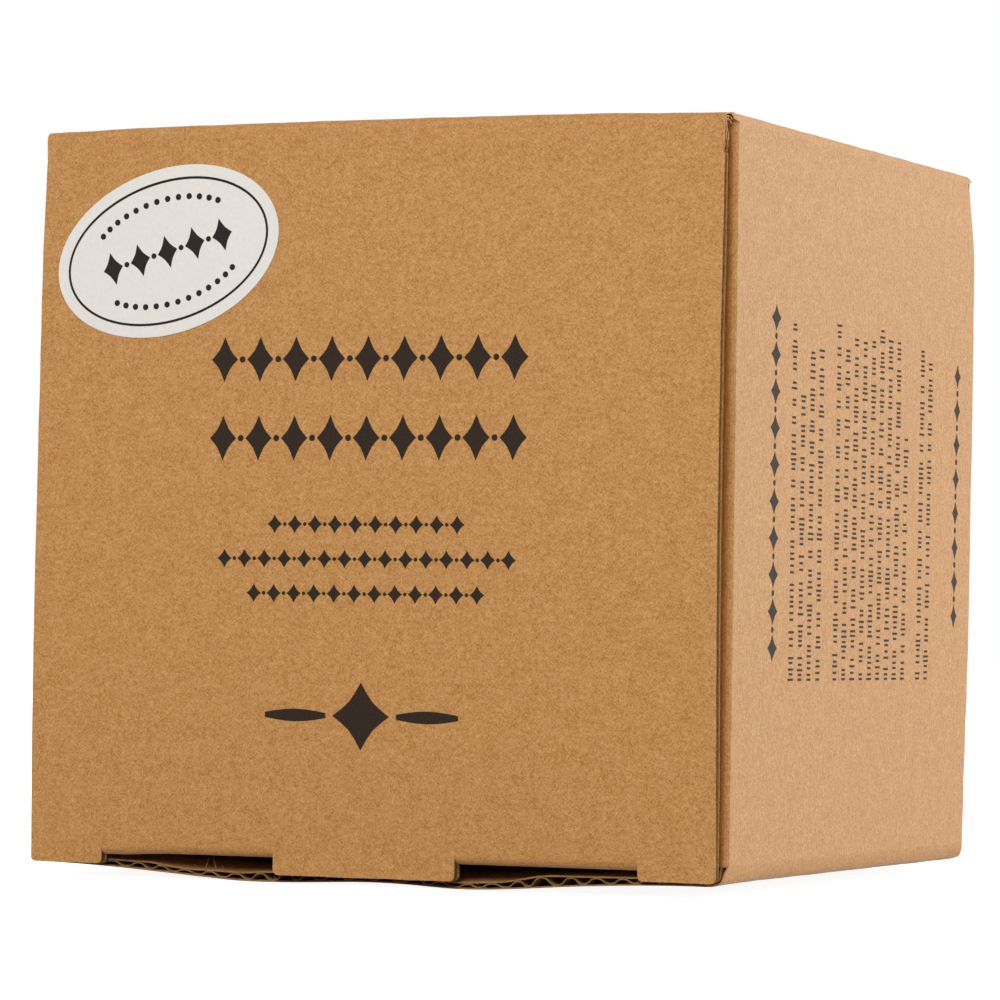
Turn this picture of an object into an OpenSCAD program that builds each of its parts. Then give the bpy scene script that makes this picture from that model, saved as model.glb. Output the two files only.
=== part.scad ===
// Corrugated carton with a tuck closure at each end, closed, standing on one wall.
// The lid faces -Y. The origin is the middle of the base.
// Each board is three sheets: an inner liner, a fluted medium and an outer liner.

/* [Carton] */
// Outer width, across the lid
box_w = 90; // [75:1:120]
// Outer depth, from the front lid to the rear lid
box_d = 88; // [75:1:120]
// Outer height, from the base to the top of the lid
box_h = 90; // [80:1:120]
// How far the bottom panel bows down in its middle
bottom_bow = 1.2; // [0:0.1:1.3]
// Width of the part of the bottom panel that lies flat on the table
rest_w = 30; // [15:1:40]

/* [Board] */
// Thickness of a liner sheet
liner_t = 0.25; // [0.15:0.01:0.35]
// Height of the flutes, between the liners
flute_h = 1; // [0.8:0.05:1.2]
// Thickness of the fluted sheet
medium_t = 0.2; // [0.12:0.01:0.3]
// Distance from one flute to the next
flute_pitch = 3.3; // [2.6:0.1:4]
// Width of the tip of a flute that is glued to a liner
flute_tip = 0.8; // [0.4:0.1:1]

/* [Creases] */
// Thickness of the board where a crease crushes it
crease_t = 0.8; // [0.5:0.05:1]
// Outer radius of the lid's and the tuck flap's folds
fold_r = 1; // [0.9:0.05:1.4]
// Outer radius of the tube's corners and of the dust flaps' folds
tube_fold_r = 2; // [1.6:0.1:2.2]
// Air between two boards when the crease between them is folded right back
hinge_air = 0.2; // [0.15:0.05:0.4]
// Straight stretch of a tube crease on each wall, past its bend
tube_crease = 0.3; // [0.2:0.1:0.8]
// How far the slanted cut at each lower corner runs back along the side
corner_cut = 2; // [0.5:0.1:3]
// Air that keeps a moving crease off the board that it bends away from
crease_air = 0.05; // [0.02:0.01:0.1]

/* [Lid] */
// How far each side edge of the lid stays inside the carton's width
lid_inset = 0.5; // [0.2:0.1:1]
// How far each side edge of the rear lid stays inside the carton's width
rear_lid_inset = 1.5; // [0.5:0.1:2.5]
// Width of the lip at each end of the lid's lower edge
outer_lip_w = 9.6; // [6:0.1:12]
// Width of the lip in the middle of the lid's lower edge
middle_lip_w = 23.6; // [15:0.1:30]
// Height of the outer lips' cut edge over the table
outer_lip_z = 1.5; // [1.3:0.1:2]
// Height of the middle lip's cut edge over the table
middle_lip_z = 0.7; // [0.4:0.1:1.2]
// Corner radius of the lips
lip_r = 0.65; // [0.3:0.05:1.2]
// Air between the lips and the bottom panel's cut edge behind them
lip_air = 0.3; // [0.2:0.05:0.6]

/* [Tuck flap] */
// Length of the tuck flap, from the lid's inner face
tuck_l = 16; // [12:0.5:18]
// Air between the tuck flap and the flat of the bottom panel
tuck_gap = 1.65; // [1.6:0.05:2]
// How far the tuck flap's sides stay inside the carton's width
tuck_inset = 4; // [3.8:0.1:8]
// How much each side of the tuck flap draws in towards its tip
tuck_draw = 3; // [0:0.5:5]
// Corner radius of the tuck flap's tip
tuck_r = 8; // [4:0.5:10]

/* [Dust flaps] */
// Gap between the tips of two dust flaps
dust_gap = 8; // [2:0.5:20]
// Slope of a dust flap's upper edge, in degrees
dust_top_slope = 31; // [30:1:40]
// Slope of a dust flap's lower edge, in degrees
dust_low_slope = 4; // [3:1:10]
// Air between a dust flap and the lid, and between a dust flap and the tuck flap
dust_air = 0.3; // [0.25:0.05:0.8]
// Drop from the top wall's inner face to the top end of a dust flap
dust_drop = 2.8; // [2.6:0.1:5]

/* [Glue flap] */
// Width of the glue flap
glue_w = 18; // [12:1:25]
// How far each end of the glue flap is cut back from the top panel's end
glue_relief = 6; // [2:0.5:10]

/* [Label] */
// Long axis of the oval label
label_w = 30.4; // [20:0.2:40]
// Short axis of the oval label
label_h = 19.8; // [12:0.2:28]
// Thickness of the label paper
label_t = 0.1; // [0.08:0.01:0.2]
// Distance of the label's middle from the carton's left side
label_left = 17.3; // [15:0.1:30]
// Distance of the label's middle from the carton's top
label_drop = 14.9; // [12:0.1:30]
// Tilt of the label's long axis, in degrees
label_tilt = 14.8; // [0:0.2:30]

/* [Hidden] */
$fn = 48;
// Straight stretches in the outline of the label
label_steps = 96;

liner_tone = [0.76, 0.57, 0.36];
medium_tone = [0.62, 0.45, 0.27];
crease_tone = [0.70, 0.51, 0.31];
label_tone = [0.92, 0.91, 0.88];

// Sheets of a board, counted from the inside of the carton
INNER = 0;
MEDIUM = 1;
OUTER = 2;

board_t = 2 * liner_t + flute_h;
half_w = box_w / 2;
front_y = -box_d / 2;

// Each moving crease turns about the inner corner of its fold.
// The boards start this far from that corner, so that they can fold back past each other.
setback = board_t + hinge_air;
lid_pivot_y = front_y + board_t;
lid_pivot_z = box_h - board_t;
tuck_z = board_t + tuck_gap;
tuck_pivot_z = tuck_z + board_t;
dust_front_y = lid_pivot_y + dust_air;
dust_pivot_y = dust_front_y + board_t;
dust_pivot_x = half_w - board_t;

// Ends of the tube's walls
tube_setback = tube_fold_r - board_t + tube_crease;
wall_half = half_w - board_t - tube_setback;
top_half_d = -(lid_pivot_y + setback);
side_half_d = -(dust_pivot_y + setback);
bottom_half_d = -(lid_pivot_y + lip_air);
side_low_z = bottom_bow + board_t + tube_setback;
side_high_z = box_h - board_t - tube_setback;
left_high_z = side_high_z - board_t;

lid_half = half_w - lid_inset;
rear_lid_half = half_w - rear_lid_inset;
notch_near = middle_lip_w / 2;
notch_far = lid_half - outer_lip_w;
notch_w = notch_far - notch_near;
tuck_half = half_w - tuck_inset;
dust_l = dust_pivot_x - dust_gap / 2;
dust_high_z = lid_pivot_z - dust_drop;
dust_low_z = tuck_pivot_z + dust_air;
dust_crease_low_z = side_low_z + dust_air;
moving_leg = setback - crease_air;

// Height of the bottom panel over the table at a place across it
function rise(x) =
    let (s = min(1, max(0, (abs(x) - rest_w / 2) / (half_w - rest_w / 2))))
    bottom_bow * s * s * (3 - 2 * s);

// Middle of the fluted sheet, from -1 at the inner liner to 1 at the outer liner
function wave(u) =
    let (
        phase = abs((u / flute_pitch) - round(u / flute_pitch)),
        slope = (0.25 - phase) / (0.25 - flute_tip / flute_pitch / 2)
    )
    max(-1, min(1, slope));

// Places across a board where the fluted sheet turns, with the board's own two edges
function turns(u0, u1) = concat(
    [u0],
    [
        for (n = [floor(2 * u0 / flute_pitch) : ceil(2 * u1 / flute_pitch)])
            for (side = [-1, 1])
                let (u = n * flute_pitch / 2 + side * flute_tip / 2)
                    if (u > u0 + 0.05 && u < u1 - 0.05) u
    ],
    [u1]
);

function lower_face(sheet, u) =
    sheet == INNER ? 0
    : sheet == OUTER ? board_t - liner_t
    : liner_t + (flute_h - medium_t) * (1 + wave(u)) / 2;

function sheet_t(sheet) = sheet == MEDIUM ? medium_t : liner_t;

// One sheet of a board lying flat: X across the flutes, Y along them, Z from its inner face.
// A bowed board drops by rise() at each place across it.
module sheet(sheet, u0, u1, y0, y1, bowed = false) {
    us = sheet == MEDIUM || bowed ? turns(u0, u1) : [u0, u1];
    low = [for (u = us) [u, lower_face(sheet, u) - (bowed ? rise(u) : 0)]];
    high = [for (i = [len(us) - 1 : -1 : 0]) low[i] + [0, sheet_t(sheet)]];
    translate([0, y1, 0])
        rotate([90, 0, 0])
            linear_extrude(y1 - y0)
                polygon(concat(low, high));
}

// Wall of the tube, standing on its inner face's plane, then turned to its side
module top_wall(sheet) {
    translate([0, 0, box_h - board_t])
        sheet(sheet, -half_w + lid_inset, wall_half, -top_half_d, top_half_d);
}

module bottom_wall(sheet) {
    translate([0, 0, board_t])
        rotate([180, 0, 0])
            sheet(sheet, -wall_half, wall_half, -bottom_half_d, bottom_half_d, bowed = true);
}

module right_wall(sheet) {
    translate([half_w - board_t, 0, 0])
        rotate([0, 90, 0])
            sheet(sheet, -side_high_z, -side_low_z, -side_half_d, side_half_d);
}

module left_wall(sheet) {
    translate([-half_w + board_t, 0, 0])
        rotate([0, -90, 0])
            sheet(sheet, side_low_z, left_high_z, -side_half_d, side_half_d);
}

// Glue flap, under the top panel, with its ends cut at a slant
module glue_wall(sheet) {
    near_x = -half_w + board_t + tube_setback;
    far_x = -half_w + board_t + glue_w;
    translate([0, 0, box_h - 2 * board_t])
        intersection() {
            sheet(sheet, near_x, far_x, -top_half_d, top_half_d);
            linear_extrude(board_t)
                polygon([
                    [near_x, -top_half_d],
                    [far_x, -top_half_d + glue_relief],
                    [far_x, top_half_d - glue_relief],
                    [near_x, top_half_d]
                ]);
        }
}

// Flat outline of one lip, rounded at its two lower corners
module lip_outline(x0, x1, low_z) {
    translate([x0, low_z + lip_r])
        square([x1 - x0, tuck_pivot_z + setback - low_z - lip_r]);
    translate([x0 + lip_r, low_z])
        square([x1 - x0 - 2 * lip_r, lip_r]);
    for (x = [x0 + lip_r, x1 - lip_r])
        translate([x, low_z + lip_r])
            circle(lip_r);
}

// Flat outline of a lid: its face, two outer lips and a longer middle lip
module lid_outline(half) {
    face_z = tuck_pivot_z + setback;
    translate([-half, face_z])
        square([2 * half, lid_pivot_z - setback - face_z]);
    lip_outline(-half, -notch_far, outer_lip_z);
    lip_outline(-notch_near, notch_near, middle_lip_z);
    lip_outline(notch_far, half, outer_lip_z);
}

// A lid, with half its width
module lid_board(sheet, half) {
    translate([0, lid_pivot_y, 0])
        rotate([90, 0, 0])
            intersection() {
                sheet(sheet, -half, half, 0, lid_pivot_z - setback);
                linear_extrude(board_t)
                    lid_outline(half);
            }
}

// Flat outline of the tuck flap, from its crease to its rounded tip
module tuck_outline() {
    tip_half = tuck_half - tuck_draw;
    polygon([
        [-tuck_half, setback],
        [tuck_half, setback],
        [tip_half, tuck_l - tuck_r],
        [tip_half - tuck_r, tuck_l],
        [-tip_half + tuck_r, tuck_l],
        [-tip_half, tuck_l - tuck_r]
    ]);
    for (side = [-1, 1])
        translate([side * (tip_half - tuck_r), tuck_l - tuck_r])
            circle(tuck_r);
}

module tuck_board(sheet) {
    translate([0, lid_pivot_y, tuck_pivot_z])
        mirror([0, 0, 1])
            intersection() {
                sheet(sheet, -tuck_half, tuck_half, setback, tuck_l);
                linear_extrude(board_t)
                    tuck_outline();
            }
}

// Flat outline of a dust flap: X is height, Y is the distance from its crease.
// Its upper edge slopes so that the lid clears it, and its lower edge so that the tuck flap does.
module dust_outline() {
    polygon([
        [dust_low_z, setback],
        [dust_high_z - setback * tan(dust_top_slope), setback],
        [dust_high_z - dust_l * tan(dust_top_slope), dust_l],
        [dust_low_z + dust_l * tan(dust_low_slope), dust_l]
    ]);
}

// The right dust flap; the left one is its mirror image
module dust_board(sheet) {
    translate([dust_pivot_x, dust_pivot_y, 0])
        rotate([90, 0, 0])
            rotate([0, 0, 90])
                intersection() {
                    sheet(sheet, dust_low_z, dust_high_z, setback, dust_l);
                    linear_extrude(board_t)
                        dust_outline();
                }
}

// Section of a folded crease. The inner corner of the fold is the origin, one board leaves along
// +X with its outer face at Y = -board_t, the other along +Y with its outer face at X = -board_t.
// The strip ends a leg away from the inner corner, and r is its outer radius.
module fold_section(leg, r) {
    bend = r - board_t;
    translate([bend, -board_t])
        square([leg - bend, crease_t]);
    translate([-board_t, bend])
        square([crease_t, leg - bend]);
    translate([bend, bend])
        intersection() {
            difference() {
                circle(r);
                circle(r - crease_t);
            }
            translate([-r, -r])
                square(r);
        }
}

// A crease of the tube, along Y; the two signs say which way its walls leave.
// Its ends are cut back by a slant on the wall that leaves along Z.
module tube_fold(x, z, to_x, to_z, half_d, cut = 0) {
    translate([x, 0, z])
        mirror([to_x < 0 ? 1 : 0, 0, 0])
            mirror([0, 0, to_z < 0 ? 1 : 0])
                rotate([90, 0, 0])
                    intersection() {
                        linear_extrude(2 * half_d, center = true)
                            fold_section(tube_setback, tube_fold_r);
                        rotate([0, -90, 0])
                            linear_extrude(2 * (board_t + tube_setback), center = true)
                                polygon([
                                    [-half_d, -board_t],
                                    [half_d, -board_t],
                                    [half_d - cut, tube_setback],
                                    [-half_d + cut, tube_setback]
                                ]);
                    }
}

// The crease that a lid turns on, with half the lid's width
module lid_fold(half) {
    translate([0, lid_pivot_y, lid_pivot_z])
        rotate([90, 0, 90])
            mirror([0, 1, 0])
                linear_extrude(2 * half, center = true)
                    fold_section(moving_leg, fold_r);
}

// The crease that the tuck flap turns on: one strip in each notch between the lips
module tuck_fold() {
    for (side = [-1, 1])
        translate([side * (notch_near + notch_far) / 2, lid_pivot_y, tuck_pivot_z])
            rotate([90, 0, 90])
                linear_extrude(notch_w - 2 * crease_air, center = true)
                    fold_section(moving_leg, fold_r);
}

// The crease that the right dust flap turns on
module dust_fold() {
    translate([dust_pivot_x, dust_pivot_y, dust_crease_low_z])
        mirror([1, 0, 0])
            linear_extrude(dust_high_z - dust_crease_low_z)
                fold_section(moving_leg, tube_fold_r);
}

// Oval sticker on the lid's face
module label_disc() {
    translate([-half_w + label_left, front_y, box_h - label_drop])
        rotate([90, 0, 0])
            rotate([0, 0, label_tilt])
                linear_extrude(label_t)
                    polygon([
                        for (i = [0 : label_steps - 1])
                            let (a = 360 * i / label_steps)
                                [label_w / 2 * cos(a), label_h / 2 * sin(a)]
                    ]);
}

module to_left() {
    mirror([1, 0, 0])
        children();
}

module to_rear() {
    mirror([0, 1, 0])
        children();
}

module top_panel_outer_liner() { color(liner_tone) top_wall(OUTER); }
module top_panel_fluting() { color(medium_tone) top_wall(MEDIUM); }
module top_panel_inner_liner() { color(liner_tone) top_wall(INNER); }
module right_panel_outer_liner() { color(liner_tone) right_wall(OUTER); }
module right_panel_fluting() { color(medium_tone) right_wall(MEDIUM); }
module right_panel_inner_liner() { color(liner_tone) right_wall(INNER); }
module bottom_panel_outer_liner() { color(liner_tone) bottom_wall(OUTER); }
module bottom_panel_fluting() { color(medium_tone) bottom_wall(MEDIUM); }
module bottom_panel_inner_liner() { color(liner_tone) bottom_wall(INNER); }
module left_panel_outer_liner() { color(liner_tone) left_wall(OUTER); }
module left_panel_fluting() { color(medium_tone) left_wall(MEDIUM); }
module left_panel_inner_liner() { color(liner_tone) left_wall(INNER); }
module glue_flap_outer_liner() { color(liner_tone) glue_wall(OUTER); }
module glue_flap_fluting() { color(medium_tone) glue_wall(MEDIUM); }
module glue_flap_inner_liner() { color(liner_tone) glue_wall(INNER); }

module lid_outer_liner() { color(liner_tone) lid_board(OUTER, lid_half); }
module lid_fluting() { color(medium_tone) lid_board(MEDIUM, lid_half); }
module lid_inner_liner() { color(liner_tone) lid_board(INNER, lid_half); }
module tuck_flap_outer_liner() { color(liner_tone) tuck_board(OUTER); }
module tuck_flap_fluting() { color(medium_tone) tuck_board(MEDIUM); }
module tuck_flap_inner_liner() { color(liner_tone) tuck_board(INNER); }
module right_dust_flap_outer_liner() { color(liner_tone) dust_board(OUTER); }
module right_dust_flap_fluting() { color(medium_tone) dust_board(MEDIUM); }
module right_dust_flap_inner_liner() { color(liner_tone) dust_board(INNER); }
module left_dust_flap_outer_liner() { to_left() right_dust_flap_outer_liner(); }
module left_dust_flap_fluting() { to_left() right_dust_flap_fluting(); }
module left_dust_flap_inner_liner() { to_left() right_dust_flap_inner_liner(); }

module rear_lid_outer_liner() { color(liner_tone) to_rear() lid_board(OUTER, rear_lid_half); }
module rear_lid_fluting() { color(medium_tone) to_rear() lid_board(MEDIUM, rear_lid_half); }
module rear_lid_inner_liner() { color(liner_tone) to_rear() lid_board(INNER, rear_lid_half); }
module rear_tuck_flap_outer_liner() { to_rear() tuck_flap_outer_liner(); }
module rear_tuck_flap_fluting() { to_rear() tuck_flap_fluting(); }
module rear_tuck_flap_inner_liner() { to_rear() tuck_flap_inner_liner(); }
module rear_right_dust_flap_outer_liner() { to_rear() right_dust_flap_outer_liner(); }
module rear_right_dust_flap_fluting() { to_rear() right_dust_flap_fluting(); }
module rear_right_dust_flap_inner_liner() { to_rear() right_dust_flap_inner_liner(); }
module rear_left_dust_flap_outer_liner() { to_rear() left_dust_flap_outer_liner(); }
module rear_left_dust_flap_fluting() { to_rear() left_dust_flap_fluting(); }
module rear_left_dust_flap_inner_liner() { to_rear() left_dust_flap_inner_liner(); }

module top_right_crease() {
    color(crease_tone)
        tube_fold(dust_pivot_x, lid_pivot_z, -1, -1, top_half_d);
}

module bottom_right_crease() {
    color(crease_tone)
        tube_fold(dust_pivot_x, bottom_bow + board_t, -1, 1, bottom_half_d, corner_cut);
}

module bottom_left_crease() {
    color(crease_tone)
        tube_fold(-dust_pivot_x, bottom_bow + board_t, 1, 1, bottom_half_d, corner_cut);
}

module glue_flap_crease() {
    color(crease_tone)
        tube_fold(-dust_pivot_x, lid_pivot_z - board_t, 1, -1, top_half_d);
}

module lid_crease() { color(crease_tone) lid_fold(lid_half); }
module tuck_crease() { color(crease_tone) tuck_fold(); }
module right_dust_crease() { color(crease_tone) dust_fold(); }
module left_dust_crease() { to_left() right_dust_crease(); }
module rear_lid_crease() { color(crease_tone) to_rear() lid_fold(rear_lid_half); }
module rear_tuck_crease() { to_rear() tuck_crease(); }
module rear_right_dust_crease() { to_rear() right_dust_crease(); }
module rear_left_dust_crease() { to_rear() left_dust_crease(); }

module oval_label() { color(label_tone) label_disc(); }

top_panel_outer_liner();
top_panel_fluting();
top_panel_inner_liner();
right_panel_outer_liner();
right_panel_fluting();
right_panel_inner_liner();
bottom_panel_outer_liner();
bottom_panel_fluting();
bottom_panel_inner_liner();
left_panel_outer_liner();
left_panel_fluting();
left_panel_inner_liner();
glue_flap_outer_liner();
glue_flap_fluting();
glue_flap_inner_liner();
lid_outer_liner();
lid_fluting();
lid_inner_liner();
tuck_flap_outer_liner();
tuck_flap_fluting();
tuck_flap_inner_liner();
left_dust_flap_outer_liner();
left_dust_flap_fluting();
left_dust_flap_inner_liner();
right_dust_flap_outer_liner();
right_dust_flap_fluting();
right_dust_flap_inner_liner();
rear_lid_outer_liner();
rear_lid_fluting();
rear_lid_inner_liner();
rear_tuck_flap_outer_liner();
rear_tuck_flap_fluting();
rear_tuck_flap_inner_liner();
rear_left_dust_flap_outer_liner();
rear_left_dust_flap_fluting();
rear_left_dust_flap_inner_liner();
rear_right_dust_flap_outer_liner();
rear_right_dust_flap_fluting();
rear_right_dust_flap_inner_liner();
top_right_crease();
bottom_right_crease();
bottom_left_crease();
glue_flap_crease();
lid_crease();
tuck_crease();
left_dust_crease();
right_dust_crease();
rear_lid_crease();
rear_tuck_crease();
rear_left_dust_crease();
rear_right_dust_crease();
oval_label();
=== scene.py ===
import math
import random

import bmesh
import bpy
import numpy as np
from mathutils import Matrix, Vector, noise


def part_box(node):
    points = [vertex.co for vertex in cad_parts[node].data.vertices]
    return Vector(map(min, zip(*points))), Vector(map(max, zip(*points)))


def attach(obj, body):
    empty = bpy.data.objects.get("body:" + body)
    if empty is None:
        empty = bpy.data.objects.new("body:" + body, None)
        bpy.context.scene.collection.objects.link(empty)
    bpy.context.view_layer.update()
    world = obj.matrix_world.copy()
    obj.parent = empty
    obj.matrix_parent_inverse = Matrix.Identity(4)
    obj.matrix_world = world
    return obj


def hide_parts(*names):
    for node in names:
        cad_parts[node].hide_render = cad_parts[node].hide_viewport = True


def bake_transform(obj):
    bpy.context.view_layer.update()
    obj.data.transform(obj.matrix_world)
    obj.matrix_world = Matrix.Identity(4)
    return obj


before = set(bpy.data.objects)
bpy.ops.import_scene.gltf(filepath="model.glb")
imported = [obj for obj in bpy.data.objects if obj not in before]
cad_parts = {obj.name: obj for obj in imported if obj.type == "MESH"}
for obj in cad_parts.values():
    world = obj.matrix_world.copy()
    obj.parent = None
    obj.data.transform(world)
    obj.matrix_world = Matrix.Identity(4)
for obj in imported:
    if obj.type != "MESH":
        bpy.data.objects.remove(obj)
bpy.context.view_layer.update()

# Lengths are in millimetres here, and become metres where a mesh is made
MM = 0.001
BOARD_T = 1.5
LINER_T = 0.17
MEDIUM_T = 0.15
CREASE_T = 0.8
FLUTE_PITCH = 3.3

# The two ends with their names, and the two hands with theirs
FRONT = -1
REAR = 1
PREFIX = {FRONT: "", REAR: "rear_"}
HANDS = ((1, "right"), (-1, "left"))

# Points this close to an edge lie on it
NEAR = 0.01

# Offsets of the sheets in the paper's own coordinates, so that their grain differs
OUTER_SHEET = 0.0
MEDIUM_SHEET = 60.0
INNER_SHEET = 120.0


def low_high(node):
    """Lowest and highest corner of a CAD node, in millimetres."""
    low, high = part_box(node)
    return np.array(low) / MM, np.array(high) / MM


# Main sizes of the carton, read from the frame
top_low, top_high = low_high("top_panel_outer_liner")
right_low, right_high = low_high("right_panel_outer_liner")
left_high = low_high("left_panel_outer_liner")[1]
bottom_high = low_high("bottom_panel_outer_liner")[1]
lid_low, lid_high = low_high("lid_outer_liner")
rear_lid_high = low_high("rear_lid_outer_liner")[1]
tuck_low, tuck_high = low_high("tuck_flap_outer_liner")
dust_low, dust_high = low_high("right_dust_flap_outer_liner")
dust_crease_low, dust_crease_high = low_high("right_dust_crease")
glue_low, glue_high = low_high("glue_flap_outer_liner")
tuck_crease_high = low_high("tuck_crease")[1]

BOX_H = top_high[2]
HALF_W = right_high[0]
HALF_D = -lid_low[1]
LID_HALF = lid_high[0]
TUCK_UNDER_Z = tuck_low[2]
DUST_FACE_Y = -dust_low[1]
WALL_HALF = top_high[0]
BOTTOM_BOW = low_high("bottom_right_crease")[0][2]
SIDE_LOW_Z = right_low[2]
LID_TOP_Z = lid_high[2]
NOTCH_TOP_Z = tuck_crease_high[2]
NOTCH_FAR = tuck_crease_high[0]
INNER_HALF = HALF_W - BOARD_T
LID_HALVES = {FRONT: LID_HALF, REAR: rear_lid_high[0]}
DUST_NEAR = INNER_HALF - dust_high[0]
DUST_FAR = INNER_HALF - dust_low[0]

# Places on the unfolded blank, whose middle is the top panel's: the feet of the side walls, and the
# middles of the bottom panel and of the top again, under which the glue flap lies
RIGHT_FOOT = HALF_W + BOX_H
BOTTOM_MIDDLE = RIGHT_FOOT + HALF_W
LEFT_FOOT = BOTTOM_MIDDLE + HALF_W
GLUE_MIDDLE = LEFT_FOOT + BOX_H + HALF_W

# Sizes of the lips along the lid's lower edge
NOTCH_NEAR = 11.8
OUTER_LIP_Z = 1.5
MIDDLE_LIP_Z = lid_low[2]
LIP_R = 0.65


def uneven(*place):
    """A value between -1 and 1 that changes smoothly from place to place."""
    return noise.noise(Vector(place))


# Shape of the real boards, which aren't quite flat

# Half the width of the strip that the carton stands on
STRIP_HALF = 15.0

# Bow of the lid's right and left edges: how far out, from which height to which
RIGHT_BOW = (0.8, 8.0, 84.0)
LEFT_BOW = (0.5, -10.0, 62.0)

# Where these edges lie back a little: how far, and at which heights that starts and is full
RIGHT_DIP = (0.22, 9.0, 2.0)
LEFT_DIP = (0.24, 60.0, 78.0)

# How far the top's middle stands up, and the share added halfway back
CROWN = 0.25
CROWN_BACK = 0.4

# How far the walls bulge, the shares of it at the front edge and added at the rear edge, and how
# far from the middle a point belongs to a wall, not yet and in full
BULGE = 0.45
BULGE_FRONT = 0.12
BULGE_BACK = 1.4
WALL_ZONE = (30.0, 43.0)

# How far the lid's upper corners and the tuck flap's fold hang, with more on its left
CORNER_DROP = 0.2
FOLD_SAG = 0.45
LEFT_SAG = 0.3

# Where the dents of the bottom's front edge end, and the places that are averaged to soften them
DENTS_END_Y = -28.0
SOFTENING = (-2.5, -1.0, 1.0, 2.5)


def smooth(low, high, x):
    t = np.clip((x - low) / (high - low), 0.0, 1.0)
    return t * t * (3.0 - 2.0 * t)


def arch(size, low, high, x):
    """A single smooth wave between two places."""
    return size * np.sin(np.pi * np.clip((x - low) / (high - low), 0.0, 1.0))


# Heights of the bottom panel's front edge past its plain bow: place across the front, height
FRONT_EDGE = [(-30, 0.0), (-22, -0.12), (-16, -0.33), (-11, -0.25), (0, 0.2), (7, 0.0), (11, -0.34),
              (13, -0.3), (15, -0.2), (17, -0.1), (20, 0.0), (26, 0.2), (34, 0.1), (41, -0.05), (45, -0.2)]

# How far this edge was pressed flat: place across the front, share of the board's thickness
PRESSED = [(-38, 0.3), (-34.7, 0.37), (-32, 0.35), (-29.3, 0.25), (-26.5, 0.42), (-23.8, 0.47), (-22.5, 0.4),
           (-19.8, 0.33), (-17, 0.32), (-14.4, 0.17), (-11.8, 0.15), (0, 0.2), (11.8, 0.46), (14.3, 0.39),
           (16.9, 0.41), (19.4, 0.25), (22, 0.02), (24.5, 0.1), (27, 0.21), (29.5, 0.27), (32, 0.33),
           (34.5, 0.38), (42, 0.3)]


def front_wave(x, y):
    """Dents of the bottom's front edge, which fade out towards the middle."""
    places, heights = zip(*FRONT_EDGE)
    softened = sum(np.interp(x + shift, places, heights) for shift in SOFTENING) / len(SOFTENING)
    return softened * smooth(DENTS_END_Y, -HALF_D + 1.0, y)


def bottom_warp(points):
    """The bottom panel rises beside the strip that the carton stands on, and its front is dented."""
    x, y = points.T[:2]
    out = points.copy()
    out[:, 2] += BOTTOM_BOW * smooth(STRIP_HALF, HALF_W, np.abs(x)) + front_wave(x, y)
    return out


def lid_bow(x, z):
    """How far the lid's face stands out past the plane that it would fill."""
    right = arch(*RIGHT_BOW, z) - RIGHT_DIP[0] * smooth(*RIGHT_DIP[1:], z)
    left = arch(*LEFT_BOW, z) - LEFT_DIP[0] * smooth(*LEFT_DIP[1:], z)
    share = np.clip(x / (2.0 * LID_HALF) + 0.5, 0.0, 1.0)
    return (left + (right - left) * share) * smooth(BOX_H, LID_TOP_Z - 2.0, z)


def crown(x, z):
    """How far the middle of the top stands up over its ends."""
    return CROWN * np.cos(np.pi * np.clip(x / HALF_W, -1, 1) / 2) * smooth(BOX_H - 10.0, BOX_H - 3.0, z)


def bulge(points):
    """The side walls and the top stand out a little, and the dust flaps go with them."""
    x, y, z = points.T
    out = points.copy()
    along = BULGE_FRONT + BULGE_BACK * smooth(-HALF_D, HALF_D, y)
    share = z / BOX_H
    swell = smooth(-0.1, 0.45, share) * smooth(1.0, 0.87, share) * (1.0 + 0.2 * smooth(0.45, 0.7, share))
    wall = smooth(*WALL_ZONE, np.abs(x))
    out[:, 0] += BULGE * np.sign(x) * swell * along * wall
    out[:, 2] += crown(x, z) * (1.0 + CROWN_BACK * np.cos(np.pi * np.clip(y / HALF_D, -1, 1) / 2))
    out[:, 2] += front_wave(x, y) * smooth(3.4, 2.0, z) * wall
    return out


def bow_front(points, side):
    """A lid with its folds and its tuck flap bows out."""
    x, y, z = points.T
    out = points.copy()
    out[:, 1] += side * lid_bow(x, np.maximum(z, TUCK_UNDER_Z))
    outer = smooth(HALF_D - 2.8, HALF_D - 1.2, side * y) * smooth(BOX_H - 8.0, BOX_H - 2.0, z)
    out[:, 2] += crown(x, z) - CORNER_DROP * smooth(28.0, 44.0, np.abs(x)) * outer
    return out


def sag_tuck(points, side):
    """The tuck flap's fold hangs a little lower than the flap."""
    x, y, z = points.T
    out = points.copy()
    front = smooth(HALF_D - 3.2, HALF_D - 1.0, side * y)
    sag = FOLD_SAG + LEFT_SAG * smooth(-24.0, -34.0, x)
    out[:, 2] -= sag * front * smooth(NOTCH_TOP_Z, NOTCH_TOP_Z - 2.0, z)
    return bow_front(out, side)


# Meshes


def new_object(name, data):
    """An object that is in the scene."""
    made = bpy.data.objects.new(name, data)
    bpy.context.scene.collection.objects.link(made)
    return made


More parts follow.
